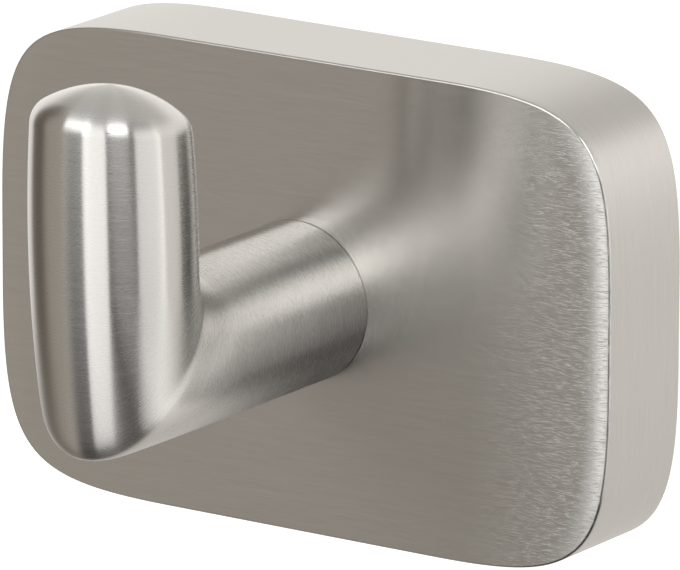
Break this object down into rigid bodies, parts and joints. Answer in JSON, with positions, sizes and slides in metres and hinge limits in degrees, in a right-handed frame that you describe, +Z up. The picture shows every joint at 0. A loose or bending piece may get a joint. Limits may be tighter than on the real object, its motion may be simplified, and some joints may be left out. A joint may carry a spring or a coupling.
{
  "type": "towel hook",
  "caption": "Wall-mounted towel hook: a rounded rectangular cover on a hidden wall bracket, with a thick round arm that turns up at a mitred elbow and ends in a low dome.",
  "frame": {"origin": "middle of the cover on the wall", "axes": "+X to the right seen from the front, +Y into the wall, +Z up; the arm stands out along -Y"},
  "size_m": [0.0676, 0.0489, 0.0485],
  "materials": {
    "cover_steel": "fine horizontal brushing",
    "arm_steel": "fine brushing around the bar",
    "bracket_steel": "plain rolled sheet",
    "screw_steel": "plain machined"
  },
  "bodies": {
    "root": {"wall_cover": "cover_steel", "hook_arm": "arm_steel", "arm_washer": "screw_steel", "arm_screw": "screw_steel", "wall_bracket": "bracket_steel", "grub_screw": "screw_steel"}
  },
  "joints": []
}
